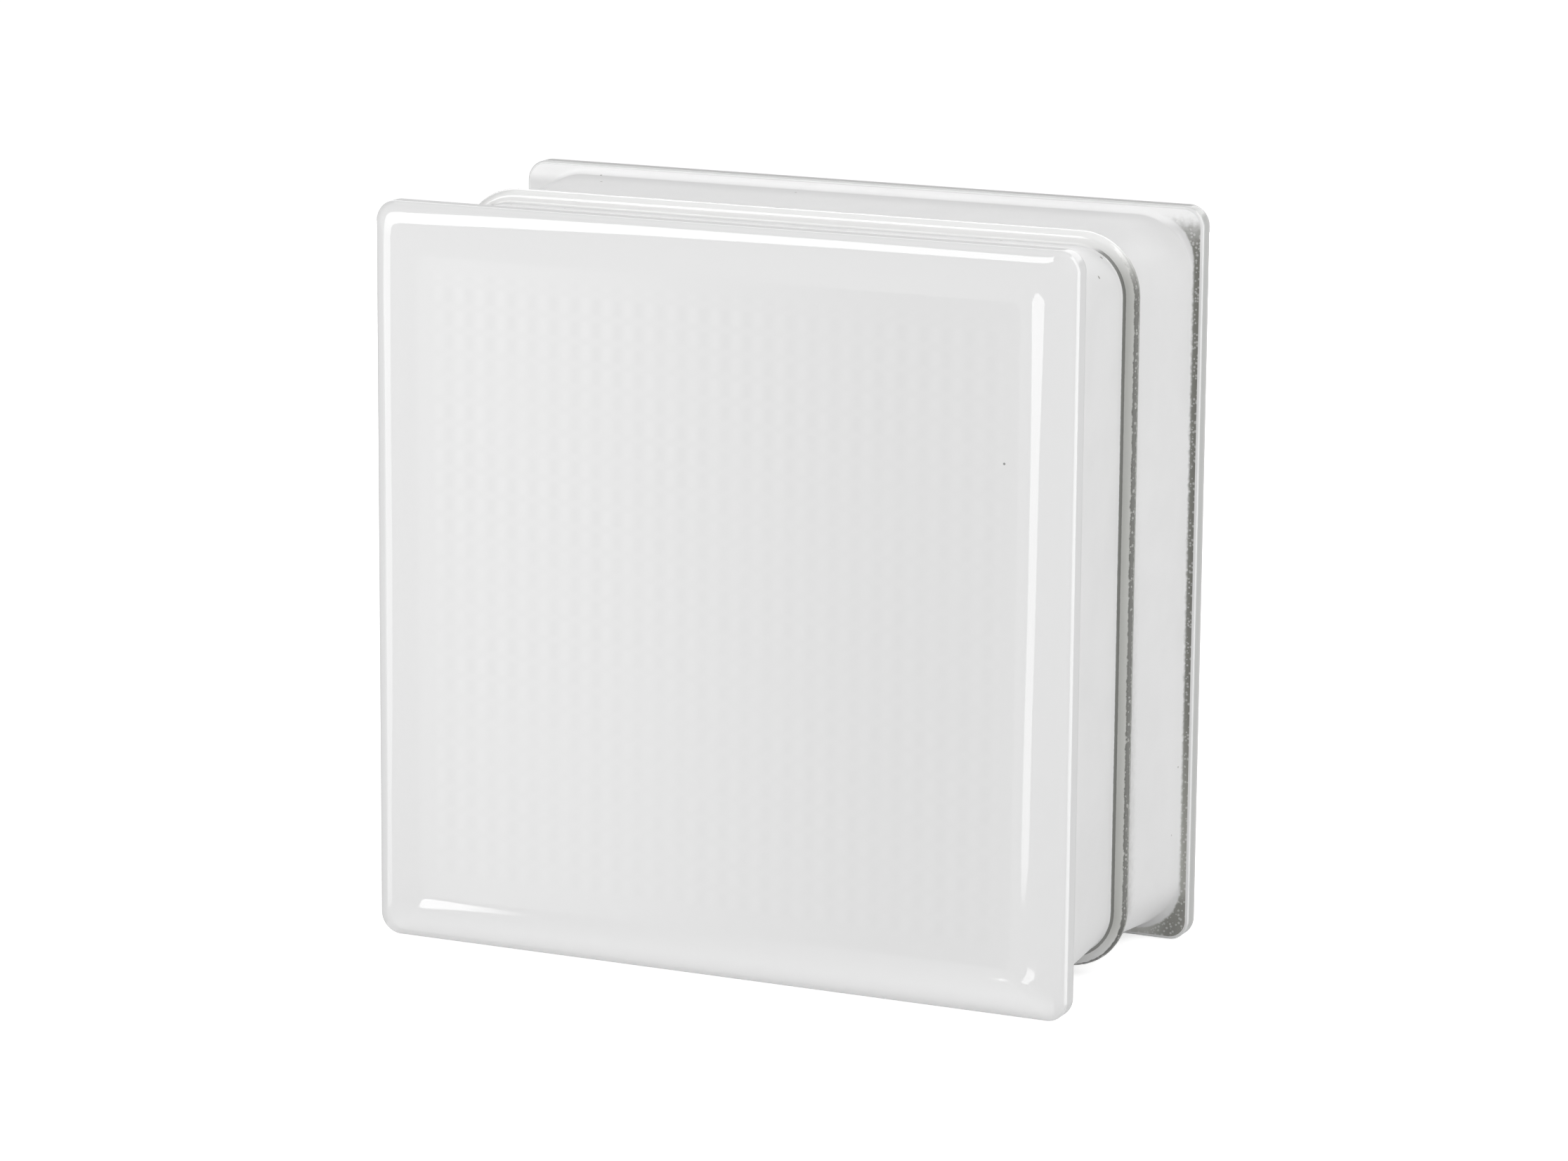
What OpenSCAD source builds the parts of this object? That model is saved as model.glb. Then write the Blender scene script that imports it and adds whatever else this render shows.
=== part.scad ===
// Hollow glass block: two pressed half shells fused at mid depth, standing on its flange edges

/* [Block] */
// Width of the two faces
block_w = 190; // [120:1:300]
// Height of the two faces
block_h = 190; // [120:1:300]
// Depth from face to face
block_d = 95; // [70:1:130]

/* [Flanges] */
// Depth of a flange, from the flat of its face to its inner side
flange_d = 8.6; // [7.5:0.1:12]
// Corner radius of the flanges, seen from the front
flange_corner_r = 5.4; // [4:0.1:11]
// Width of the curved border that falls away round each face
border_w = 14; // [12:0.1:24]
// Fall of the border, from the flat of the face to the edge land
border_fall = 4.3; // [2:0.1:5]
// Rounding between the edge land and the inner side of a flange
lip_r = 0.8; // [0.3:0.1:1]

/* [Side walls] */
// Inset of a wall beside the flange, measured from the edge land
wall_inset = 2.7; // [2.6:0.1:3.6]
// Inset of a wall beside the seam bead
seam_inset = 5.2; // [5:0.1:7]
// Corner radius of the walls beside the seam bead
wall_corner_r = 12.2; // [9:0.1:18]
// Hollow fillet where a wall runs into its flange
wall_root_r = 1.5; // [0.8:0.1:1.5]

/* [Seam bead] */
// Width of the bead that the fused seam leaves round the block
bead_w = 4.8; // [3:0.1:5]
// Inset of the bead's crest from the edge lands
bead_inset = 1.7; // [0.6:0.1:1.8]
// Hollow fillet on both sides of the bead
bead_root_r = 0.8; // [0.3:0.1:1]

/* [Hollow] */
// Glass thickness of a face
face_t = 8.5; // [6:0.1:12]
// Glass thickness of a wall beside the seam bead
wall_t = 6.5; // [5:0.1:10]
// Corner radius of the hollow, seen from the front
hollow_corner_r = 8; // [6.5:0.1:14]
// Rounding between the hollow's walls and faces
hollow_edge_r = 6; // [2:0.1:6]

/* [Hidden] */
$fn = 96;
glass_colour = [0.93, 0.94, 0.94];
// Straight part that the bead always keeps between its crest and its fillets
least_neck = 0.1;
bead_fillet_r = min(bead_root_r, seam_inset - bead_inset - bead_w / 2 - least_neck);
// Half depths, measured from the seam
face_z = block_d / 2;
land_z = face_z - border_fall;
flange_z = face_z - flange_d;
wall_top_z = flange_z - wall_root_r;
bead_root_z = bead_w / 2 + bead_fillet_r;
hollow_z = face_z - face_t;
// Insets of the corner axes from the edge lands
wall_axis = seam_inset + wall_corner_r;
hollow_inset = seam_inset + wall_t;
hollow_axis = hollow_inset + hollow_corner_r;
// Radii from the wall's corner axis
fillet_reach = wall_axis - wall_inset + wall_root_r;
ledge_reach = wall_axis - lip_r;
wall_foot = wall_axis - seam_inset;
bead_shoulder = wall_foot + bead_fillet_r;
crest_centre = wall_axis - bead_inset - bead_w / 2;
// Depth to which the walls are let into a flange
let_in = 2;
// Spare length of a clipping rectangle past the curve that it trims
spare = 1;

// Rectangle from its lower left to its upper right corner
module span(low, high) {
    translate(low) square(high - low);
}

// Part of a circle that lies inside a rectangle
module arc_in(centre, radius, low, high) {
    intersection() {
        translate(centre) circle(radius);
        span(low, high);
    }
}

// Section drawn outward from a corner axis, carried round four straight sides and four corners
module carry_round(axis) {
    run_w = block_w - 2 * axis;
    run_h = block_h - 2 * axis;
    for (turn = [0, 180]) {
        rotate(turn) {
            translate([-run_w / 2, run_h / 2, 0]) rotate([90, 0, 90]) linear_extrude(run_w) children();
            translate([run_w / 2, run_h / 2, 0]) rotate([90, 0, 0]) linear_extrude(run_h) children();
            translate([run_w / 2, run_h / 2, 0]) rotate_extrude(angle = 90) children();
            translate([-run_w / 2, run_h / 2, 0]) rotate(90) rotate_extrude(angle = 90) children();
        }
    }
}

// Plain middle of a carried section, inside its four corner axes
module core(axis, low_z, high_z) {
    run_w = block_w - 2 * axis;
    run_h = block_h - 2 * axis;
    translate([-run_w / 2, -run_h / 2, low_z]) cube([run_w, run_h, high_z - low_z]);
}

// Long curve of the border, a quarter of an ellipse whose flat end starts at the given place
module border_curve(start, low, high) {
    intersection() {
        translate([start, land_z]) scale([border_w, border_fall]) circle(1);
        span(low, high);
    }
}

// Section of a flange edge: curved border, edge land and rounded lip
module flange_edge_section() {
    border_curve(flange_corner_r - border_w, [0, land_z], [flange_corner_r + spare, face_z + spare]);
    span([0, flange_z + lip_r], [flange_corner_r, land_z]);
    span([0, flange_z], [flange_corner_r - lip_r, flange_z + lip_r]);
    arc_in(
        [flange_corner_r - lip_r, flange_z + lip_r], lip_r,
        [flange_corner_r - lip_r, flange_z - spare], [flange_corner_r + spare, flange_z + lip_r]
    );
}

// Section across the middle of a flange plate: flat face with the start of the border at both ends
module flange_middle_section(across) {
    flat = across / 2 - border_w;
    reach = across / 2 - flange_corner_r + spare;
    span([-reach, flange_z], [reach, land_z]);
    span([-flat, land_z], [flat, face_z]);
    for (way = [0, 1]) {
        mirror([way, 0]) border_curve(flat, [flat, land_z], [reach, face_z + spare]);
    }
}

// Middle of a flange plate, where the borders of neighbouring sides meet in a soft mitre
module flange_middle() {
    intersection() {
        core(flange_corner_r, flange_z, face_z + spare);
        rotate([90, 0, 0]) linear_extrude(block_h, center = true) flange_middle_section(block_w);
        rotate([90, 0, 90]) linear_extrude(block_w, center = true) flange_middle_section(block_h);
    }
}

// One face with its overhanging flange
module flange() {
    flange_middle();
    carry_round(flange_corner_r) flange_edge_section();
}

// Section of half a wall: tapered wall, hollow fillet and the part let into the flange
module wall_section() {
    wall_head = wall_axis - wall_inset;
    polygon([[0, bead_root_z], [wall_foot, bead_root_z], [wall_head, wall_top_z], [0, wall_top_z]]);
    difference() {
        span([0, wall_top_z], [ledge_reach, flange_z + let_in]);
        translate([fillet_reach, wall_top_z]) circle(wall_root_r);
        span([fillet_reach, wall_top_z - spare], [ledge_reach + spare, flange_z]);
    }
}

// Section of the seam bead: round crest on a neck with a hollow fillet on both sides
module bead_section() {
    difference() {
        span([0, -bead_root_z], [bead_shoulder, bead_root_z]);
        for (side = [-1, 1]) translate([bead_shoulder, side * bead_root_z]) circle(bead_fillet_r);
    }
    span([bead_shoulder, -bead_w / 2], [crest_centre, bead_w / 2]);
    arc_in([crest_centre, 0], bead_w / 2, [crest_centre, -bead_w], [crest_centre + bead_w, bead_w]);
}

// Section of the hollow beside its walls, with rounded edges towards both faces
module hollow_section() {
    inner = hollow_corner_r - hollow_edge_r;
    level = hollow_z - hollow_edge_r;
    span([0, -level], [hollow_corner_r, level]);
    for (way = [0, 1]) {
        mirror([0, way]) {
            span([0, level], [inner, hollow_z]);
            arc_in([inner, level], hollow_edge_r, [inner, level], [hollow_corner_r + spare, hollow_z + spare]);
        }
    }
}

// The whole block, lying on its back with the seam at zero
module lying_block() {
    difference() {
        union() {
            for (way = [0, 1]) {
                mirror([0, 0, way]) {
                    flange();
                    carry_round(wall_axis) wall_section();
                }
            }
            carry_round(wall_axis) bead_section();
            core(wall_axis, -flange_z - let_in, flange_z + let_in);
        }
        carry_round(hollow_axis) hollow_section();
        core(hollow_axis, -hollow_z, hollow_z);
    }
}

// Fused glass block, stood upright with one face to the front
module glass_block() {
    color(glass_colour)
        translate([0, 0, block_h / 2]) rotate([90, 0, 0]) lying_block();
}

glass_block();
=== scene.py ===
import math

import bmesh
import bpy
from mathutils import Euler, Matrix, Vector, noise


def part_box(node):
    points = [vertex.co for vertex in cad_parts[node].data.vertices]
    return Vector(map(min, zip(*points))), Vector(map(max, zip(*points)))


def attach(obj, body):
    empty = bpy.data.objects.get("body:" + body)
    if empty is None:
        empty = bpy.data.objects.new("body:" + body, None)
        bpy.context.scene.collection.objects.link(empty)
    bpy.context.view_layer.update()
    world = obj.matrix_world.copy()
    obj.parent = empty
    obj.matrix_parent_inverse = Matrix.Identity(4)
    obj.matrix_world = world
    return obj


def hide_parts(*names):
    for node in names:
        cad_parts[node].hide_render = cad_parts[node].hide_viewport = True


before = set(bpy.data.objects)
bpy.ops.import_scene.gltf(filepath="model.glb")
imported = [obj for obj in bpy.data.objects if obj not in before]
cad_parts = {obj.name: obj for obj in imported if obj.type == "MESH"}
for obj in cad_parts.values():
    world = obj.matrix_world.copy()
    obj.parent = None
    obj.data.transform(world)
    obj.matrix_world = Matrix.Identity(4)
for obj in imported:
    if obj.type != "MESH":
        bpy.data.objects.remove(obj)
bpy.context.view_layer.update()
low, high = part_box("glass_block")
mm = 0.001
halfSide = high.x  # half of the square face
halfDepth = high.y
middleZ = (low.z + high.z) / 2
scene = bpy.context.scene
print("frame loaded, block", [round(v / mm, 1) for v in high - low])


# Object in the scene from a finished bmesh
def placeMesh(mesh, name):
    data = bpy.data.meshes.new(name)
    mesh.to_mesh(data)
    mesh.free()
    piece = bpy.data.objects.new(name, data)
    scene.collection.objects.link(piece)
    return piece


# Shader helpers

def putNode(tree, kind, x, y, **settings):
    node = tree.nodes.new(kind)
    node.location = (x, y)
    for name, value in settings.items():
        setattr(node, name, value)
    return node


def feed(tree, socket, value):
    if isinstance(value, bpy.types.NodeSocket):
        tree.links.new(value, socket)
    else:
        socket.default_value = value


def feedAll(tree, node, values):
    for name, value in values.items():
        feed(tree, node.inputs[name], value)


def mathNode(tree, operation, x, y, first, second=0.0, third=0.0):
    node = putNode(tree, "ShaderNodeMath", x, y, operation=operation)
    for socket, value in zip(node.inputs, (first, second, third)):
        feed(tree, socket, value)
    return node.outputs[0]


# Soft change from low at start to high at end; the looks hold start and end, or all four
def rampNode(tree, x, y, value, start, end, low=0.0, high=1.0):
    node = putNode(tree, "ShaderNodeMapRange", x, y, interpolation_type="SMOOTHSTEP")
    feedAll(tree, node, {"Value": value, "From Min": start, "From Max": end, "To Min": low, "To Max": high})
    return node.outputs["Result"]


def mixColour(tree, x, y, factor, first, second, blend="MIX"):
    node = putNode(tree, "ShaderNodeMix", x, y, data_type="RGBA", blend_type=blend)
    feed(tree, node.inputs["Factor"], factor)
    feed(tree, node.inputs[6], first)
    feed(tree, node.inputs[7], second)
    return node.outputs[2]


def noiseNode(tree, x, y, place, scale, detail):
    node = putNode(tree, "ShaderNodeTexNoise", x, y)
    feedAll(tree, node, {"Vector": place, "Scale": scale, "Detail": detail})
    return node.outputs[0]


def bumpNode(tree, x, y, height, strength, distance):
    node = putNode(tree, "ShaderNodeBump", x, y)
    feedAll(tree, node, {"Height": height, "Strength": strength, "Distance": distance})
    return node.outputs["Normal"]


def startMaterial(name):
    material = bpy.data.materials.new(name)
    material.use_nodes = True
    tree = material.node_tree
    shader = tree.nodes["Principled BSDF"]
    shader.location = (900, 0)
    place = putNode(tree, "ShaderNodeTexCoord", -1500, 0).outputs["Object"]
    axes = putNode(tree, "ShaderNodeSeparateXYZ", -1300, 0)
    tree.links.new(place, axes.inputs[0])
    return material, tree, shader, place, axes.outputs


def startGroup(name, values, result):
    tree = bpy.data.node_groups.new(name, "ShaderNodeTree")
    tree.interface.new_socket("Vector", in_out="INPUT", socket_type="NodeSocketVector")
    for label, value in values.items():
        socket = tree.interface.new_socket(label, in_out="INPUT", socket_type="NodeSocketFloat")
        socket.default_value = value
    tree.interface.new_socket(result, in_out="OUTPUT", socket_type="NodeSocketFloat")
    start = putNode(tree, "NodeGroupInput", -800, 0)
    end = putNode(tree, "NodeGroupOutput", 600, 0)
    return tree, start.outputs, end.inputs


def placeGroup(tree, group, x, y, place, values):
    node = putNode(tree, "ShaderNodeGroup", x, y, node_tree=group)
    feedAll(tree, node, {"Vector": place, **values})
    return node.outputs[0]


# Small dark or pale dots, each cell of the pattern holding at most one
def makeSpecks():
    tree, given, out = startGroup("specks", {"Scale": 300.0, "Share": 0.1, "Size": 0.3}, "Mask")
    cells = putNode(tree, "ShaderNodeTexVoronoi", -500, 0)
    feedAll(tree, cells, {"Vector": given["Vector"], "Scale": given["Scale"]})
    chance = putNode(tree, "ShaderNodeSeparateColor", -280, -160)
    tree.links.new(cells.outputs["Color"], chance.inputs[0])
    kept = mathNode(tree, "LESS_THAN", -80, -160, chance.outputs[0], given["Share"])
    reach = mathNode(tree, "MULTIPLY", -80, -320, chance.outputs[1], given["Size"])
    dot = mathNode(tree, "DIVIDE", 100, 0, cells.outputs["Distance"], reach)
    soft = rampNode(tree, 250, 0, dot, 1.0, 0.5)
    tree.links.new(mathNode(tree, "MULTIPLY", 420, 0, soft, kept), out["Mask"])
    return tree


# Slow change of tone over a surface, from Low to High
def makeMottle():
    tree, given, out = startGroup("mottle", {"Scale": 40.0, "Low": 0.9, "High": 1.0}, "Value")
    cloud = noiseNode(tree, -500, 0, given["Vector"], given["Scale"], 3.0)
    tree.links.new(rampNode(tree, -200, 0, cloud, 0.3, 0.7, given["Low"], given["High"]), out["Value"])
    return tree


# Shift that makes a boundary ragged, up to Reach to either side
def makeRagged():
    tree, given, out = startGroup("ragged", {"Scale": 700.0, "Reach": 1.0}, "Shift")
    cloud = noiseNode(tree, -500, 0, given["Vector"], given["Scale"], 4.0)
    centred = mathNode(tree, "MULTIPLY_ADD", -200, 0, cloud, 2.0, -1.0)
    tree.links.new(mathNode(tree, "MULTIPLY", 100, 0, centred, given["Reach"]), out["Shift"])
    return tree


specks = makeSpecks()
mottle = makeMottle()
ragged = makeRagged()
print("shared effects made")


# Glossy milky glass of the two faces, with the pressed grid showing faintly from inside as a bump and as
# painted shading
opalLook = {
    "paintedLit": (0.818, 0.818, 0.818, 1.0),
    "paintedShade": (0.782, 0.782, 0.782, 1.0),
    "edgeGlass": (0.585, 0.59, 0.58, 1.0),
    "paintedDarkTop": (0.43, 0.43, 0.425, 1.0),
    "dust": (0.3, 0.3, 0.3, 1.0),
    "gridPitch": 5.87 * mm,
    "gridShift": (2.3 * mm, 2.45 * mm),
    "gridCells": 27,
    "gridBorder": 0.6,  # fades out over this many cells
    "gridDepth": 0.1 * mm,
    "gridFade": (-12.0, 4.0, 1.0, 0.55),  # over the cells from upper left to lower right
    "gridTone": {"Scale": 45.0, "Low": 0.5, "High": 1.1},
    "dimpleHeight": (0.46, 0.2),  # in cells, from the middle of a row
    "dustSpread": {"Scale": 90.0, "Share": 0.02, "Size": 0.05},
    "edgeStart": (38.9 * mm, 40.2 * mm),
    "edgeEnd": (44.0 * mm, 42.0 * mm),
    "topStart": (188.6 * mm, 189.6 * mm),
    "surface": {"Roughness": 0.5, "Specular IOR Level": 0.0, "Coat Weight": 1.0, "Coat Roughness": 0.03,
                "Coat IOR": 1.5},
}


def makeOpal(cfg):
    material, tree, shader, place, axes = startMaterial("opalGlass")
    upright = mathNode(tree, "SUBTRACT", -1120, -160, axes["Z"], middleZ)
    across = mathNode(tree, "DIVIDE", -940, 60, axes["X"], cfg["gridPitch"])
    along = mathNode(tree, "DIVIDE", -940, -160, upright, cfg["gridPitch"])
    shiftX, shiftZ = (shift / cfg["gridPitch"] for shift in cfg["gridShift"])
    halfCell = 0.5
    fromCell = mathNode(tree, "SUBTRACT", -820, 60, across, shiftX)
    cellX = mathNode(tree, "PINGPONG", -680, 60, fromCell, halfCell)
    fromRow = mathNode(tree, "SUBTRACT", -820, -160, along, shiftZ)
    cellZ = mathNode(tree, "PINGPONG", -680, -160, fromRow, halfCell)
    away = mathNode(tree, "ADD", -420, 0, mathNode(tree, "MULTIPLY", -600, 60, cellX, cellX),
                    mathNode(tree, "MULTIPLY", -600, -160, cellZ, cellZ))
    dimple = rampNode(tree, -260, 0, mathNode(tree, "SQRT", -340, -120, away), halfCell, 0.0)
    reach = mathNode(tree, "MAXIMUM", -600, -360, mathNode(tree, "ABSOLUTE", -760, -340, across),
                     mathNode(tree, "ABSOLUTE", -760, -480, along))
    half = cfg["gridCells"] / 2
    inGrid = rampNode(tree, -420, -360, reach, half, half - cfg["gridBorder"])
    relief = mathNode(tree, "MULTIPLY", -80, -80, dimple, inGrid)
    # painted shade and light: each dimple is paler on its left and darker on its right, most of all in the
    # upper left of the face
    paintedDimpleShade = mathNode(tree, "SINE", -420, 900, mathNode(tree, "MULTIPLY", -600, 900, fromCell, -2 * math.pi))
    inRow = rampNode(tree, -420, 1060, cellZ, *cfg["dimpleHeight"])
    paintedDimpleShade = mathNode(tree, "MULTIPLY", -260, 900, paintedDimpleShade, inRow)
    slant = mathNode(tree, "SUBTRACT", -600, 1220, across, along)
    faint = rampNode(tree, -420, 1220, slant, *cfg["gridFade"])
    faint = mathNode(tree, "MULTIPLY", -260, 1220, faint, inGrid)
    uneven = placeGroup(tree, mottle, -420, 1380, place, cfg["gridTone"])
    paintedDimpleShade = mathNode(tree, "MULTIPLY", -80, 900, paintedDimpleShade, mathNode(tree, "MULTIPLY", -180, 1220, faint, uneven))
    paintedLit = mathNode(tree, "MULTIPLY_ADD", 20, 900, paintedDimpleShade, 0.5, 0.5)
    milk = mixColour(tree, 120, 900, paintedLit, cfg["paintedShade"], cfg["paintedLit"])
    # clear glass shows in the edge land of the rear flange, and a painted dark reflection makes it darker on
    # top
    rear = mathNode(tree, "MULTIPLY", 120, 600, rampNode(tree, -80, 500, axes["Y"], *cfg["edgeStart"]),
                    rampNode(tree, -80, 700, axes["Y"], *cfg["edgeEnd"]))
    paintedTopMask = rampNode(tree, -80, 1060, axes["Z"], *cfg["topStart"])
    clear = mixColour(tree, 120, 740, paintedTopMask, cfg["edgeGlass"], cfg["paintedDarkTop"])
    tone = mixColour(tree, 300, 300, rear, milk, clear)
    dust = placeGroup(tree, specks, -80, 300, place, cfg["dustSpread"])
    feedAll(tree, shader, {
        "Base Color": mixColour(tree, 500, 300, dust, tone, cfg["dust"]),
        "Normal": bumpNode(tree, 300, -300, relief, 1.0, cfg["gridDepth"]),
        **cfg["surface"],
    })
    return material


# Satin white coating sprayed on the walls and missing in the flange roots, with painted shade behind the seam
# bead, painted light and shade on top and painted light on the bare glass near the floor
coatLook = {
    "white": (0.80, 0.80, 0.80, 1.0),
    "bare": (0.23, 0.23, 0.21, 1.0),
    "paintedFootLight": (0.42, 0.42, 0.39, 1.0),
    "paintedUnderLight": (0.62, 0.62, 0.59, 1.0),
    "paintedLeeShade": (0.26, 0.255, 0.24, 1.0),
    "paintedGrooveLight": (0.90, 0.90, 0.90, 1.0),
    "paintedRearShade": (0.755, 0.755, 0.755, 1.0),
    "paintedLedgeLight": (0.97, 0.97, 0.97, 1.0),
    "speck": (0.30, 0.29, 0.27, 1.0),
    "cornerAxis": 14.2 * mm,
    "coatEnd": (11.6 * mm, 12.3 * mm),  # from the corner axis outward
    "ragged": {"Scale": 700.0, "Reach": 0.8 * mm},
    "raggedEnd": 0.4,  # shares of the ragged shift at the coat's end, down the sides and in the lee
    "raggedHeight": 3.0,
    "raggedLee": 2.0,
    "crumbs": {"Scale": 1300.0, "Share": 0.6, "Size": 0.8},
    "crumbCover": 0.45,
    "speckSpread": {"Scale": 260.0, "Share": 0.10, "Size": 0.16},
    "tone": {"Scale": 60.0, "Low": 0.97, "High": 1.0},
    "bareBeyond": 36.0 * mm,
    "bareHeight": (188.5 * mm, 180.0 * mm),
    "leftDrop": (86.0 * mm, 70.0 * mm, 0.0, 8.0 * mm),
    "leeReach": (13.5 * mm, 4.5 * mm),
    "leeStart": (1.0 * mm, 3.0 * mm),
    "leeHeight": (180.0 * mm, 20.0 * mm, 0.15, 0.75),
    "leeLean": 0.012,
    "grooveHeight": (183.0 * mm, 185.5 * mm),
    "grooveDepth": (0.0, -2.0 * mm),
    "rearHeight": (180.0 * mm, 186.0 * mm),
    "rearDepth": (0.0, 2.0 * mm),
    "ledgeHeight": (184.0 * mm, 187.0 * mm),
    "ledgeDepth": (37.0 * mm, 38.4 * mm),
    "footHeight": (70.0 * mm, 14.0 * mm),
    "cornerHeight": (9.0 * mm, 14.0 * mm, 0.3, 1.0),
    "underHeight": (14.0 * mm, 9.0 * mm),
    "underSide": (90.0 * mm, 82.0 * mm),
    "roughness": (0.42, 0.18),  # coated, bare
    "sheen": 0.3,
    "grain": (1400.0, 3.0),  # scale and detail
    "grainBump": (0.12, 0.2 * mm),  # strength and height
}


def makeCoat(cfg):
    material, tree, shader, place, axes = startMaterial("satinCoat")

    def band(axis, name, x, y):
        return rampNode(tree, x, y, axes[axis], *cfg[name])

    fromMiddle = mathNode(tree, "ABSOLUTE", -1120, 0, axes["Y"])
    upright = mathNode(tree, "SUBTRACT", -1120, 160, axes["Z"], middleZ)
    arms = []
    for row, side in enumerate((axes["X"], upright)):  # past the corner axes, along X and along Z
        reach = mathNode(tree, "ABSOLUTE", -940, 240 + 160 * row, side)
        past = mathNode(tree, "SUBTRACT", -780, 240 + 160 * row, reach, halfSide - cfg["cornerAxis"])
        arms.append(mathNode(tree, "MAXIMUM", -620, 240 + 160 * row, past, 0.0))
    squared = mathNode(tree, "MULTIPLY", -460, 400, arms[1], arms[1])
    squared = mathNode(tree, "MULTIPLY_ADD", -460, 240, arms[0], arms[0], squared)
    away = mathNode(tree, "SQRT", -300, 240, squared)
    wobble = placeGroup(tree, ragged, -900, -260, place, cfg["ragged"])
    outer = mathNode(tree, "MULTIPLY_ADD", -700, 0, wobble, cfg["raggedEnd"], away)
    missing = mathNode(tree, "MULTIPLY", -400, 0, rampNode(tree, -560, 0, outer, *cfg["coatEnd"]),
                       mathNode(tree, "GREATER_THAN", -560, 100, fromMiddle, cfg["bareBeyond"]))
    # the coat is whole along the top and runs further down on the left
    fromTop = mathNode(tree, "ADD", -900, -120, axes["Z"], band("X", "leftDrop", -1120, -120))
    fromTop = mathNode(tree, "MULTIPLY_ADD", -700, -200, wobble, cfg["raggedHeight"], fromTop)
    lower = rampNode(tree, -500, -200, fromTop, *cfg["bareHeight"])
    crumbs = placeGroup(tree, specks, -500, -400, place, cfg["crumbs"])
    solid = mathNode(tree, "MULTIPLY_ADD", -300, -300, crumbs, -cfg["crumbCover"], 1.0)
    bare = mathNode(tree, "MULTIPLY", -100, 0, mathNode(tree, "MULTIPLY", -300, 0, missing, lower), solid)
    # painted shade in the lee of the bead, darker further down
    lean = mathNode(tree, "MULTIPLY_ADD", -900, -600, axes["Z"], cfg["leeLean"], axes["Y"])
    lean = mathNode(tree, "MULTIPLY_ADD", -700, -600, wobble, cfg["raggedLee"], lean)
    lee = mathNode(tree, "MULTIPLY", -300, -600, rampNode(tree, -500, -600, lean, *cfg["leeReach"]),
                   band("Y", "leeStart", -500, -800))
    paintedLeeShade = mathNode(tree, "MULTIPLY", -100, -600, lee, band("Z", "leeHeight", -500, -1000))
    # painted light and shade on top: the groove before the seam is paler, the wall behind it greyer and the
    # ledge above that palest
    inGroove = mathNode(tree, "MULTIPLY", -150, 800, band("Z", "grooveHeight", -300, 800),
                        band("Y", "grooveDepth", -300, 960))
    clean = mixColour(tree, -60, 560, inGroove, cfg["white"], cfg["paintedGrooveLight"])
    paintedTopMask = mathNode(tree, "MULTIPLY", -150, 1200, band("Z", "rearHeight", -300, 1120),
                     band("Y", "rearDepth", -300, 1280))
    clean = mixColour(tree, -20, 700, paintedTopMask, clean, cfg["paintedRearShade"])
    paintedLedgeLight = mathNode(tree, "MULTIPLY", -150, 1500, band("Z", "ledgeHeight", -300, 1420),
                     band("Y", "ledgeDepth", -300, 1580))
    clean = mixColour(tree, 20, 840, paintedLedgeLight, clean, cfg["paintedLedgeLight"])
    dots = placeGroup(tree, specks, -300, 300, place, cfg["speckSpread"])
    shade = placeGroup(tree, mottle, -300, 520, place, cfg["tone"])
    clean = mixColour(tree, 60, 420, dots, clean, cfg["speck"])
    clean = mixColour(tree, 200, 420, 1.0, clean, shade, blend="MULTIPLY")
    coatWithLeeShade = mixColour(tree, 340, 300, paintedLeeShade, clean, cfg["paintedLeeShade"])
    # painted light makes the bare glass paler downwards, dark again in the lower corners and palest under the
    # wall
    pale = mathNode(tree, "MULTIPLY", 180, 620, band("Z", "footHeight", 20, 620),
                    band("Z", "cornerHeight", 20, 780))
    glass = mixColour(tree, 340, 500, pale, cfg["bare"], cfg["paintedFootLight"])
    fromSide = mathNode(tree, "ABSOLUTE", 20, 1100, axes["X"])
    under = mathNode(tree, "MULTIPLY", 180, 940, band("Z", "underHeight", 20, 940),
                     rampNode(tree, 100, 1100, fromSide, *cfg["underSide"]))
    glass = mixColour(tree, 420, 600, under, glass, cfg["paintedUnderLight"])
    grain = noiseNode(tree, 0, -300, place, *cfg["grain"])
    feedAll(tree, shader, {
        "Base Color": mixColour(tree, 500, 300, bare, coatWithLeeShade, glass),
        "Roughness": rampNode(tree, 460, 60, bare, 0.0, 1.0, *cfg["roughness"]),
        "Specular IOR Level": cfg["sheen"],
        "Normal": bumpNode(tree, 460, -300, grain, *cfg["grainBump"]),
    })
    return material


# Bare glass of the fused seam: clear on the flanks and dark along the gritty crest; painted shade darkens the
# roots, and a painted highlight on top and painted light at the foot make it pale
seamLook = {
    "clear": (0.56, 0.565, 0.54, 1.0),
    "paintedPale": (0.90, 0.90, 0.895, 1.0),
    "gritAndPaintedShade": (0.07, 0.07, 0.062, 1.0),
    "coat": (0.80, 0.80, 0.80, 1.0),
    "ragged": {"Scale": 900.0, "Reach": 0.08},  # Reach and the next four in millimetres
    "gritty": {"Scale": 900.0, "Reach": 0.45},
    "coatStart": (4.7, 4.8),  # from the seam, along the section
    "rootStart": (3.85, 4.0),
    "crestEnd": (2.0, 1.65),
    "crestTone": (0.1, 0.5, 0.4, 0.86),
    "crumbs": {"Scale": 1300.0, "Share": 0.6, "Size": 0.8},
    "crumbCover": 0.5,
    "grit": {"Scale": 300.0, "Share": 0.05, "Size": 0.25},
    "rootHeight": (184.7 * mm, 183.2 * mm, 0.0, 0.65),
    "crestHeight": (186.0 * mm, 172.0 * mm),
    "sideHeight": (188.0 * mm, 176.0 * mm),
    "footHeight": (3.0 * mm, 16.0 * mm, 0.1, 1.0),
    "roughness": (0.3, 0.4),  # bare, coated
    "surface": {"Specular IOR Level": 0.2, "Coat Roughness": 0.07, "Coat IOR": 1.5},
}


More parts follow.
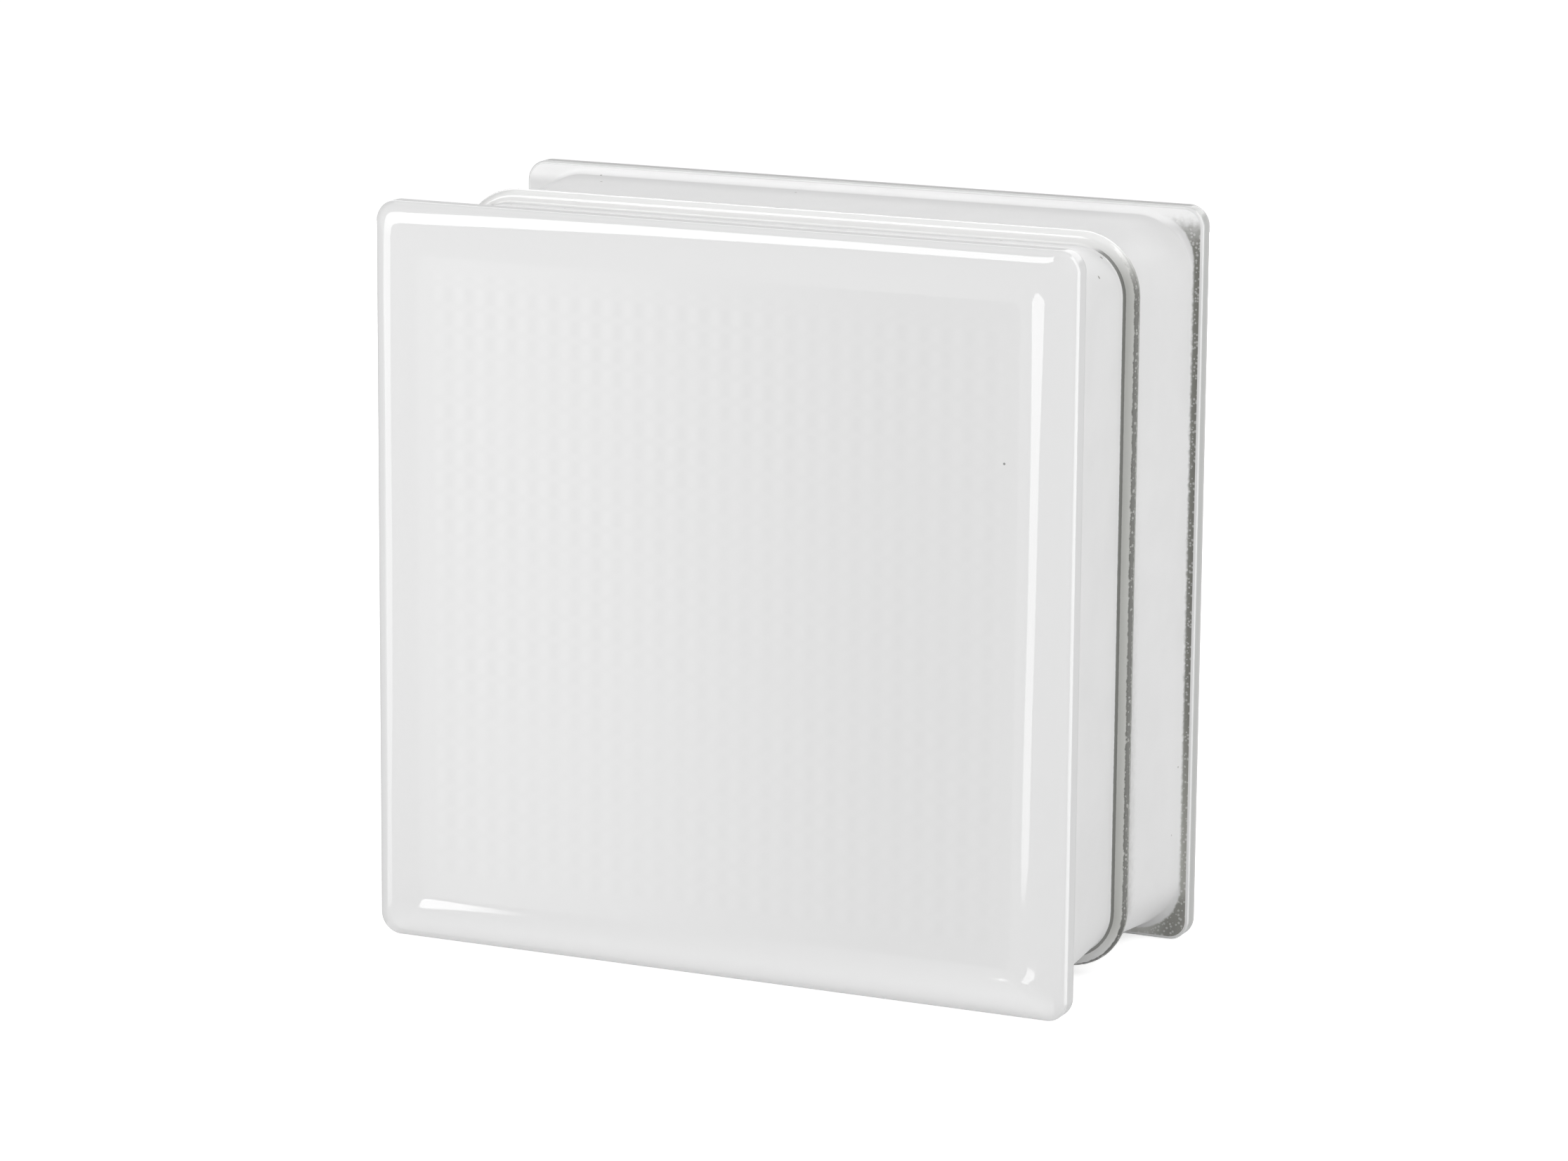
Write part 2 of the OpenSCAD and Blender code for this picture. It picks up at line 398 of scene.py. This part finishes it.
def makeSeam(cfg):
    material, tree, shader, place, axes = startMaterial("seamGlass")

    def band(name, x, y):
        return rampNode(tree, x, y, axes["Z"], *cfg[name])

    run = putNode(tree, "ShaderNodeAttribute", -1300, 300, attribute_name="seamRun").outputs["Fac"]
    smooth = mathNode(tree, "ADD", -900, 300, run, placeGroup(tree, ragged, -1100, 300, place, cfg["ragged"]))
    gritty = mathNode(tree, "ADD", -900, 0, run, placeGroup(tree, ragged, -1100, 0, place, cfg["gritty"]))
    coated = rampNode(tree, -700, 500, smooth, *cfg["coatStart"])
    # painted shade darkens the hollow root beside the bead, fading out on top
    root = mathNode(tree, "MULTIPLY", -500, 300, rampNode(tree, -700, 300, smooth, *cfg["rootStart"]),
                    band("rootHeight", -700, 100))
    crest = mathNode(tree, "MULTIPLY", -500, 0, rampNode(tree, -700, -100, gritty, *cfg["crestEnd"]),
                     rampNode(tree, -700, -300, gritty, *cfg["crestTone"]))
    crumbs = placeGroup(tree, specks, -500, -1000, place, cfg["crumbs"])
    solid = mathNode(tree, "MULTIPLY_ADD", -300, -1000, crumbs, -cfg["crumbCover"], 1.0)
    crest = mathNode(tree, "MULTIPLY", -400, 0, crest, solid)
    crest = mathNode(tree, "MULTIPLY", -300, 0, crest, band("crestHeight", -500, -200))
    grit = placeGroup(tree, specks, -500, -400, place, cfg["grit"])
    side = band("sideHeight", -500, -600)
    line = mathNode(tree, "MAXIMUM", -100, 100, root, crest)
    gritAndPaintedShade = mathNode(tree, "MAXIMUM", 50, 0, line, mathNode(tree, "MULTIPLY", -100, -400, grit, side))
    # a painted highlight makes the bare glass pale on top, and painted light makes it pale at the foot
    clear = mathNode(tree, "MULTIPLY", -300, -600, side, band("footHeight", -500, -800))
    bare = mixColour(tree, 50, 300, clear, cfg["paintedPale"], cfg["clear"])
    glass = mixColour(tree, 220, 200, gritAndPaintedShade, bare, cfg["gritAndPaintedShade"])
    feedAll(tree, shader, {
        "Base Color": mixColour(tree, 400, 200, coated, glass, cfg["coat"]),
        "Roughness": rampNode(tree, 400, 0, coated, 0.0, 1.0, *cfg["roughness"]),
        "Coat Weight": mathNode(tree, "SUBTRACT", 400, -200, 1.0, side),
        **cfg["surface"],
    })
    return material


# The moulded block, one skin of rounded square loops from the front face to the rear
blockShape = {
    "border": 14.0 * mm,
    "fall": 4.3 * mm,
    "edgeCorner": 5.4 * mm,
    "flatCorner": 3.0 * mm,
    "flangeDepth": 8.6 * mm,
    "lip": 0.8 * mm,
    "draft": 0.05 * mm,
    "wallInset": 2.7 * mm,
    "seamInset": 5.2 * mm,
    "wallCorner": 12.2 * mm,
    "wallRoot": 1.5 * mm,
    "beadWidth": 4.8 * mm,
    "beadInset": 1.7 * mm,
    "beadRoot": 0.8 * mm,
    "cornerSteps": 20,
    "runCuts": 84,
    "borderSteps": 30,
    "landSteps": 4,
    "lipSteps": 6,
    "ledgeSteps": 4,
    "rootSteps": 6,
    "wallSteps": 18,
    "beadRootSteps": 5,
    "crestSteps": 12,
    "faceInset": 0.8 * mm,
    "weld": 0.001 * mm,
    "seamRough": 0.12 * mm,
    "seamReach": 1.2 * mm,
    "seamGrain": (0.9 * mm, 3.0 * mm),
    "coarseShare": 0.6,
    "wallWave": 0.03 * mm,
    "waveLength": 28 * mm,
    "waveMargin": 2 * mm,
}
opal, coat, seam = range(3)  # finishes of the strips, in the order of the block's materials


def steps(count):
    return [index / count for index in range(1, count + 1)]


# Stations of half the section: inset from the edge, corner radius, depth from the face, finish of the strip
def halfSection(cfg):
    wallAxis = cfg["seamInset"] + cfg["wallCorner"]
    quarter = math.pi / 2
    stations = [(cfg["border"], cfg["flatCorner"], 0.0, opal)]
    for share in steps(cfg["borderSteps"]):  # border, a quarter of an ellipse
        inset = cfg["border"] * (1 - math.sin(share * quarter))
        corner = cfg["edgeCorner"] + (cfg["flatCorner"] - cfg["edgeCorner"]) * inset / cfg["border"]
        stations.append((inset, corner, cfg["fall"] * (1 - math.cos(share * quarter)), opal))
    landEnd = cfg["flangeDepth"] - cfg["lip"] - cfg["draft"]
    for share in steps(cfg["landSteps"]):  # flat edge land
        stations.append((0.0, cfg["edgeCorner"], cfg["fall"] + (landEnd - cfg["fall"]) * share, opal))
    for share in steps(cfg["lipSteps"]):  # rounded lip
        inset = cfg["lip"] * (1 - math.cos(share * quarter))
        depth = landEnd + cfg["lip"] * math.sin(share * quarter)
        stations.append((inset, cfg["edgeCorner"] - inset, depth, opal))
    fillet = cfg["wallInset"] - cfg["wallRoot"]
    for share in steps(cfg["ledgeSteps"]):  # inner side of the flange, widest at the corners
        inset = cfg["lip"] + (fillet - cfg["lip"]) * share
        lipCorner = cfg["edgeCorner"] - cfg["lip"]
        depth = cfg["flangeDepth"] - cfg["draft"] * (1 - share)
        stations.append((inset, lipCorner + (wallAxis - fillet - lipCorner) * share, depth, coat))
    wallStart = cfg["flangeDepth"] + cfg["wallRoot"]
    for share in steps(cfg["rootSteps"]):  # hollow fillet at the root of the flange
        inset = fillet + cfg["wallRoot"] * math.sin(share * quarter)
        depth = wallStart - cfg["wallRoot"] * math.cos(share * quarter)
        stations.append((inset, wallAxis - inset, depth, coat))
    wallEnd = halfDepth - cfg["beadWidth"] / 2 - cfg["beadRoot"]
    for share in steps(cfg["wallSteps"]):  # tapered wall
        inset = cfg["wallInset"] + (cfg["seamInset"] - cfg["wallInset"]) * share
        stations.append((inset, wallAxis - inset, wallStart + (wallEnd - wallStart) * share, coat))
    shoulder = cfg["seamInset"] - cfg["beadRoot"]
    for share in steps(cfg["beadRootSteps"]):  # hollow fillet beside the bead
        inset = shoulder + cfg["beadRoot"] * math.cos(share * quarter)
        depth = wallEnd + cfg["beadRoot"] * math.sin(share * quarter)
        stations.append((inset, wallAxis - inset, depth, seam))
    crest = cfg["beadInset"] + cfg["beadWidth"] / 2
    for share in steps(cfg["crestSteps"]):  # round crest of the bead
        inset = crest - cfg["beadWidth"] / 2 * math.sin(share * quarter)
        depth = halfDepth - cfg["beadWidth"] / 2 * math.cos(share * quarter)
        stations.append((inset, wallAxis - inset, depth, seam))
    return stations


# Closed loop of edges: a square with bevelled corners, standing at the given depth
def roundedLoop(mesh, cfg, inset, corner, depth):
    stand = Matrix.Translation((0, depth - halfDepth, middleZ)) @ Matrix.Rotation(math.pi / 2, 4, "X")
    square = bmesh.ops.create_grid(mesh, x_segments=1, y_segments=1, size=halfSide - inset,
                                   matrix=stand)["verts"]
    rounded = bmesh.ops.bevel(mesh, geom=square, offset=corner, offset_type="OFFSET", affect="VERTICES",
                              segments=cfg["cornerSteps"], profile=0.5, material=-1)["verts"]
    face = rounded[0].link_faces[0]
    runs = [edge for edge in face.edges if edge.calc_length() > halfSide - inset]
    bmesh.ops.subdivide_edges(mesh, edges=runs, cuts=cfg["runCuts"])
    return face


# Uneven glass: slow waves on the walls and a rough fused line on the crest of the bead
def roughen(mesh, cfg):
    centre = Vector((0, 0, middleZ))
    fine, coarse = cfg["seamGrain"]
    wallReach = halfDepth - cfg["flangeDepth"] - cfg["waveMargin"]
    for vert in mesh.verts:
        fromMiddle = abs(vert.co.y)
        outward = (vert.co - centre) * Vector((1, 0, 1))
        outward.normalize()
        if fromMiddle < cfg["seamReach"]:
            grit = noise.noise(vert.co / fine) + cfg["coarseShare"] * noise.noise(vert.co / coarse)
            vert.co += outward * cfg["seamRough"] * grit * (1 - fromMiddle / cfg["seamReach"])
        elif fromMiddle < wallReach:
            vert.co += outward * cfg["wallWave"] * noise.noise(vert.co / cfg["waveLength"])


# Way along the section from the seam to each station, in millimetres
def seamRuns(stations):
    runs = [0.0]
    for here, there in zip(stations[-2::-1], stations[:0:-1]):
        runs.append(runs[-1] + math.hypot(here[0] - there[0], here[2] - there[2]) / mm)
    return runs[::-1]


def makeBlock(cfg, finishes):
    mesh = bmesh.new()
    seamRun = mesh.verts.layers.float.new("seamRun")
    before = None
    stations = halfSection(cfg)
    for (inset, corner, depth, finish), run in zip(stations, seamRuns(stations)):
        face = roundedLoop(mesh, cfg, inset, corner, depth)
        for vert in face.verts:
            vert[seamRun] = run
        edges = list(face.edges)
        if before is None:  # the first loop keeps its face, the flat middle
            face.material_index = finish
            bmesh.ops.inset_region(mesh, faces=[face], thickness=cfg["faceInset"], use_even_offset=True)
        else:
            bmesh.ops.delete(mesh, geom=[face], context="FACES_ONLY")
            for strip in bmesh.ops.bridge_loops(mesh, edges=before + edges)["faces"]:
                strip.material_index = finish
        before = edges
    half = mesh.verts[:] + mesh.edges[:] + mesh.faces[:]
    bmesh.ops.mirror(mesh, geom=half, axis="Y", merge_dist=cfg["weld"])
    bmesh.ops.remove_doubles(mesh, verts=mesh.verts[:], dist=cfg["weld"])
    roughen(mesh, cfg)
    bmesh.ops.recalc_face_normals(mesh, faces=mesh.faces[:])
    for face in mesh.faces:
        face.smooth = True
    block = placeMesh(mesh, "glassBlock")
    for finish in finishes:
        block.data.materials.append(finish)
    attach(block, "root")
    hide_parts("glass_block")
    return block


block = makeBlock(blockShape, [makeOpal(opalLook), makeCoat(coatLook), makeSeam(seamLook)])
print("block made,", len(block.data.polygons), "faces")


# Pale floor and white surroundings
stageLook = {
    "floorRadius": 12.0,
    "floorSides": 96,
    "floorSurface": {"Base Color": (0.88, 0.88, 0.88, 1.0), "Roughness": 0.9, "Specular IOR Level": 0.0,
                     "Emission Color": (1.0, 1.0, 1.0, 1.0)},
    "lift": 0.58,  # glow that makes the floor white to the camera alone
    "sky": (1.0, 1.0, 1.0, 1.0),
    "skyStrength": 0.52,
}


def makeStage(cfg):
    mesh = bmesh.new()
    bmesh.ops.create_circle(mesh, cap_ends=True, segments=cfg["floorSides"], radius=cfg["floorRadius"])
    floor = placeMesh(mesh, "floor")
    material = bpy.data.materials.new("paleFloor")
    material.use_nodes = True
    tree = material.node_tree
    shader = tree.nodes["Principled BSDF"]
    path = putNode(tree, "ShaderNodeLightPath", -600, -200)
    glow = mathNode(tree, "MULTIPLY", -200, -200, path.outputs["Is Camera Ray"], cfg["lift"])
    feedAll(tree, shader, {"Emission Strength": glow, **cfg["floorSurface"]})
    floor.data.materials.append(material)
    floor.visible_glossy = False  # gloss looks past the floor into the white studio

    world = bpy.data.worlds.new("studio")
    scene.world = world
    world.use_nodes = True
    tree = world.node_tree
    back = tree.nodes["Background"]
    path = putNode(tree, "ShaderNodeLightPath", -800, 0)
    seen = mathNode(tree, "MAXIMUM", -600, 0, path.outputs["Is Camera Ray"],
                    path.outputs["Is Transmission Ray"])
    seen = mathNode(tree, "MAXIMUM", -400, 0, seen, path.outputs["Is Glossy Ray"])
    level = rampNode(tree, -200, 0, seen, 0.0, 1.0, cfg["skyStrength"], 1.0)
    feedAll(tree, back, {"Color": cfg["sky"], "Strength": level})


makeStage(stageLook)
print("stage made")


# Soft boxes that light the block: place, aim, size in metres and power in watts
lampPlan = {
    "front": {"place": (-0.3, -1.1, 0.45), "aim": (0, 0, 0.1), "size": (0.5, 0.6), "power": 5.1},
    "rightSide": {"place": (1.0, 0.1, 0.65), "aim": (0, 0, 0.1), "size": (0.5, 0.6), "power": 3.9},
    "rear": {"place": (-0.45, 1.1, 0.3), "aim": (0, 0, 0.1), "size": (0.5, 0.6), "power": 4.2},
}


def makeLamps(plan):
    for name, spec in plan.items():
        lamp = bpy.data.lights.new(name, "AREA")
        lamp.shape = "RECTANGLE"
        lamp.size, lamp.size_y = spec["size"]
        lamp.energy = spec["power"]
        holder = bpy.data.objects.new(name, lamp)
        holder.location = spec["place"]
        toAim = Vector(spec["aim"]) - Vector(spec["place"])
        holder.rotation_euler = toAim.to_track_quat("-Z", "Y").to_euler()
        holder.visible_camera = False
        holder.visible_glossy = False
        scene.collection.objects.link(holder)


makeLamps(lampPlan)
print("lamps made")


# Cards round the block that only gloss shows: rows of a level and two edge points,
# each point a bearing and a height in degrees
cardPlan = {
    "keyCard": [
        (6.5, (-22.0, 54.0), (-8.0, 34.5)),
        (6.5, (-25.8, 48.6), (-20.5, 34.0)),
        (6.5, (-33.4, 50.8), (-24.6, 32.4)),
        (6.5, (-38.0, 47.0), (-28.7, 27.6)),
        (6.5, (-38.1, 42.9), (-30.1, 23.9)),
        (6.5, (-36.8, 34.8), (-31.8, 19.8)),
        (6.5, (-46.2, 26.0), (-33.1, 18.8)),
        (6.5, (-52.7, 20.6), (-40.4, 13.3)),
        (6.0, (-56.5, 15.3), (-44.7, 10.2)),
        (5.0, (-58.0, 10.7), (-47.7, 6.7)),
        (4.6, (-59.4, 5.3), (-49.4, 2.7)),
        (3.8, (-64.5, -1.4), (-52.5, -0.5)),
        (3.6, (-69.4, -5.0), (-55.9, -4.5)),
        (3.3, (-67.7, -7.7), (-56.5, -7.7)),
        (3.0, (-68.1, -10.7), (-55.9, -10.7)),
        (2.8, (-68.1, -13.7), (-57.1, -13.7)),
        (2.6, (-68.1, -15.9), (-59.7, -15.9)),
        (2.4, (-70.0, -17.4), (-59.7, -17.4)),
        (2.0, (-68.9, -20.5), (-59.9, -22.3)),
    ],
    "veilCard": [
        (1.0, (-33.5, -2.0), (-33.5, -22.0)),
        (1.4, (-31.4, -2.0), (-31.4, -22.0)),
        (1.7, (-30.0, -2.0), (-30.0, -22.0)),
        (1.6, (-28.7, -2.0), (-28.7, -22.0)),
        (1.4, (-27.0, -2.0), (-27.0, -22.0)),
        (0.9, (-24.7, -2.0), (-24.7, -22.0)),
        (0.5, (-22.5, -2.0), (-22.5, -22.0)),
        (0.2, (-20.5, -2.0), (-20.5, -22.0)),
        (0.25, (-18.5, -2.0), (-18.5, -22.0)),
        (0.6, (-16.5, -2.0), (-16.5, -22.0)),
    ],
    "stripCard": [
        (5.2, (-9.9, 1.5), (-7.8, 1.3)),
        (5.2, (-11.0, -1.9), (0.1, -4.9)),
        (5.2, (-8.8, -6.1), (-0.4, -6.0)),
        (4.8, (-8.3, -8.3), (-2.1, -8.3)),
        (4.4, (-8.6, -11.5), (-2.8, -11.4)),
        (4.3, (-9.6, -14.3), (-4.2, -14.2)),
        (4.0, (-10.2, -17.0), (-4.7, -16.9)),
        (2.5, (-9.7, -17.8), (-7.0, -17.8)),
    ],
    "footCard": [
        (6.5, (-33.3, -23.7), (-33.9, -29.9)),
        (6.5, (-31.7, -23.4), (-33.2, -29.0)),
        (6.0, (-31.1, -23.9), (-32.1, -27.8)),
        (4.0, (-30.5, -24.4), (-31.2, -27.2)),
        (2.0, (-30.0, -24.9), (-30.6, -27.2)),
        (1.0, (-29.3, -25.0), (-29.9, -27.5)),
    ],
    "cornerCard": [
        (5.0, (-4.6, -19.22), (1.7, -19.1)),
        (5.0, (-7.0, -21.5), (0.0, -20.8)),
        (5.0, (-9.6, -23.6), (-4.5, -23.4)),
        (5.0, (-12.1, -26.4), (-8.9, -26.6)),
    ],
    "dotCard": [
        (7.0, (-18.84, -27.9), (-18.64, -27.9)),
        (7.0, (-19.2, -29.8), (-19.0, -29.8)),
    ],
    "edgeCard": [
        (6.0, (56.0, 60.0), (142.0, 60.0)),
        (6.0, (60.0, 50.0), (141.0, 50.0)),
        (4.8, (64.0, 36.0), (118.0, 36.0)),
        (4.8, (68.0, 22.0), (106.0, 22.0)),
        (4.8, (76.0, 6.0), (126.0, 6.0)),
        (4.8, (76.0, -8.0), (126.0, -8.0)),
        (3.8, (72.0, -30.0), (126.0, -30.0)),
    ],
    "backFlag": [
        (0.4, (128.0, 18.0), (128.0, -35.0)),
        (0.4, (144.0, 18.0), (144.0, -35.0)),
        (0.4, (160.0, 18.0), (160.0, -35.0)),
        (0.55, (175.0, 18.0), (175.0, -35.0)),
        (0.75, (195.0, 18.0), (195.0, -35.0)),
        (0.75, (215.0, 18.0), (215.0, -35.0)),
        (1.0, (240.0, 18.0), (240.0, -35.0)),
    ],
    "backCard": [
        (2.1, (144.0, 50.0), (240.0, 50.0)),
        (2.1, (130.0, 21.0), (240.0, 21.0)),
    ],
    "leftFlag": [
        (0.3, (-72.0, 55.0), (-118.0, 55.0)),
        (0.3, (-72.0, 4.0), (-118.0, 4.0)),
        (0.3, (-72.0, -2.0), (-150.0, -2.0)),
        (0.3, (-72.0, -35.0), (-150.0, -35.0)),
    ],
    "underCard": [
        (1.0, (-60.0, -22.0), (20.0, -22.0)),
        (1.5, (-60.0, -30.0), (20.0, -30.0)),
        (2.3, (-60.0, -40.0), (20.0, -40.0)),
        (1.9, (-60.0, -52.0), (20.0, -52.0)),
        (1.0, (-60.0, -66.0), (20.0, -66.0)),
    ],
    "topCard": [
        (1.6, (-180.0, 88.0), (180.0, 88.0)),
        (1.6, (-180.0, 57.0), (180.0, 57.0)),
    ],
}
farCards = ("underCard", "topCard")  # these hang behind the others
cardReach, farReach = 1.2, 1.5
cardGrain = 8  # degrees between the columns of a card


def makeCard(name, rows, finish):
    mesh = bmesh.new()
    levels = mesh.verts.layers.float.new("level")
    distance = farReach if name in farCards else cardReach
    span = max(abs(right[0] - left[0]) for level, left, right in rows)
    across = max(1, round(span / cardGrain))
    bmesh.ops.create_grid(mesh, x_segments=across, y_segments=len(rows) - 1, size=1.0)
    for vert in mesh.verts:
        level, left, right = rows[round((1 - vert.co.y) / 2 * (len(rows) - 1))]
        share = (vert.co.x + 1) / 2
        bearing = math.radians(left[0] + (right[0] - left[0]) * share)
        height = math.radians(left[1] + (right[1] - left[1]) * share)
        flat = math.cos(height)
        away = Vector((math.sin(bearing) * flat, -math.cos(bearing) * flat, math.sin(height)))
        vert.co = Vector((0, 0, middleZ)) + away * distance
        vert[levels] = level
    card = placeMesh(mesh, name)
    for ray in ("camera", "diffuse", "transmission", "volume_scatter", "shadow"):
        setattr(card, "visible_" + ray, False)
    card.data.materials.append(finish)


def makeGlow():
    material = bpy.data.materials.new("cardGlow")
    material.use_nodes = True
    material.cycles.emission_sampling = "NONE"
    tree = material.node_tree
    tree.nodes.clear()
    glow = putNode(tree, "ShaderNodeEmission", 0, 0)
    end = putNode(tree, "ShaderNodeOutputMaterial", 200, 0)
    level = putNode(tree, "ShaderNodeAttribute", -200, 0, attribute_name="level")
    tree.links.new(level.outputs["Fac"], glow.inputs["Strength"])
    tree.links.new(glow.outputs[0], end.inputs["Surface"])
    return material


cardGlow = makeGlow()
for name, rows in cardPlan.items():
    makeCard(name, rows, cardGlow)
print("cards made")


# Camera at the photograph's angle, turned about the block's middle
viewPlan = {
    "yaw": 24.705,
    "pitch": 12.009,
    "roll": 0.427,
    "distance": 1447.3 * mm,
    "right": 1.65 * mm,
    "down": -1.88 * mm,
    "lens": 130.8,
    "sensor": 36.0,
}


def makeCamera(plan):
    yaw, pitch = math.radians(plan["yaw"]), math.radians(plan["pitch"])
    turn = Euler((math.pi / 2 - pitch, 0, yaw)).to_matrix()
    aside = turn @ Vector((plan["right"], -plan["down"], 0))
    back = turn @ Vector((0, 0, plan["distance"]))
    data = bpy.data.cameras.new("camera")
    data.lens = plan["lens"]
    data.sensor_width = plan["sensor"]
    camera = bpy.data.objects.new("camera", data)
    camera.location = Vector((0, 0, middleZ)) - aside + back
    camera.rotation_euler = (turn @ Matrix.Rotation(math.radians(plan["roll"]), 3, "Z")).to_euler()
    scene.collection.objects.link(camera)
    scene.camera = camera


makeCamera(viewPlan)
scene.view_settings.view_transform = "Standard"
